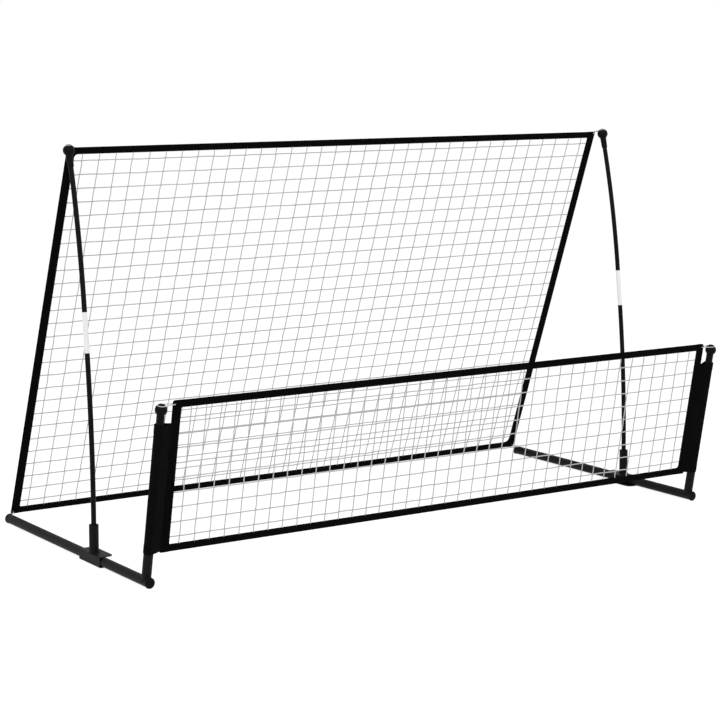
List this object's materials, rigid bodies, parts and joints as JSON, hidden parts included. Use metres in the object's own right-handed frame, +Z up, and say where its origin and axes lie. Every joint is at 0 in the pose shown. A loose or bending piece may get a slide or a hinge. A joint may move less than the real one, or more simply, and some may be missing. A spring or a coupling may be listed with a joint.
{
  "type": "pitch back rebounder",
  "caption": "Ball rebounder: a tall back net leaning on two bowed poles and a low front net on two short posts, on two base tubes.",
  "frame": {"origin": "on the ground, at the middle of the whole object's width and depth", "axes": "+X along the width, +Y to the back where the tall net's foot is, +Z up"},
  "size_m": [1.8436, 0.9472, 1.0909],
  "materials": {
    "powder_coat": "fine-textured black powder coat on steel",
    "pole_coating": "smooth black glass fibre rod",
    "bare_ferrule": "bare drawn tube, lightly polished",
    "moulded_plastic": "moulded black plastic, fine grain",
    "edge_webbing": "black woven webbing folded over the net's edge, stitched",
    "sleeve_cloth": "black woven polyester cloth, stitched",
    "net_twine": "light grey knotless twine",
    "elastic_cord": "white braided elastic cord"
  },
  "bodies": {
    "root": {"left_base_tube": "powder_coat", "left_front_plug": "moulded_plastic", "left_rear_plug": "moulded_plastic", "left_pole_bracket": "powder_coat", "left_pole_socket": "powder_coat", "left_socket_bush": "moulded_plastic", "left_post_stub": "powder_coat", "left_post_sleeve": "sleeve_cloth", "left_pole_tie": "elastic_cord", "left_post_tie": "elastic_cord", "left_tail_tie": "elastic_cord", "right_base_tube": "powder_coat", "right_front_plug": "moulded_plastic", "right_rear_plug": "moulded_plastic", "right_pole_bracket": "powder_coat", "right_pole_socket": "powder_coat", "right_socket_bush": "moulded_plastic", "right_post_stub": "powder_coat", "right_post_sleeve": "sleeve_cloth", "right_pole_tie": "elastic_cord", "right_post_tie": "elastic_cord", "right_tail_tie": "elastic_cord", "back_net_top_band": "edge_webbing", "back_net_bottom_band": "edge_webbing", "back_net_left_band": "edge_webbing", "back_net_right_band": "edge_webbing", "front_net_top_band": "edge_webbing", "front_net_bottom_band": "edge_webbing", "front_net_left_band": "edge_webbing", "front_net_right_band": "edge_webbing", "back_netting": "net_twine", "front_netting": "net_twine"},
    "left_pole": {"left_lower_pole": "pole_coating", "left_pole_ferrule": "bare_ferrule", "left_upper_pole": "pole_coating", "left_pole_cap": "moulded_plastic"},
    "left_post": {"left_post_rod": "powder_coat", "left_post_cap": "moulded_plastic"},
    "right_pole": {"right_lower_pole": "pole_coating", "right_pole_ferrule": "bare_ferrule", "right_upper_pole": "pole_coating", "right_pole_cap": "moulded_plastic"},
    "right_post": {"right_post_rod": "powder_coat", "right_post_cap": "moulded_plastic"}
  },
  "joints": [
    {"name": "left_pole_lift", "type": "slide", "parent": "root", "child": "left_pole", "axis": [0, 0, 1], "range_m": [0, 0.07], "deforming": ["left_pole_tie"]},
    {"name": "left_post_lift", "type": "slide", "parent": "root", "child": "left_post", "axis": [0, -0.1951, 0.9808], "range_m": [0, 0.11], "deforming": ["left_post_tie"]},
    {"name": "right_pole_lift", "type": "slide", "parent": "root", "child": "right_pole", "axis": [0, 0, 1], "range_m": [0, 0.07], "deforming": ["right_pole_tie"]},
    {"name": "right_post_lift", "type": "slide", "parent": "root", "child": "right_post", "axis": [0, -0.1951, 0.9808], "range_m": [0, 0.11], "deforming": ["right_post_tie"]}
  ]
}
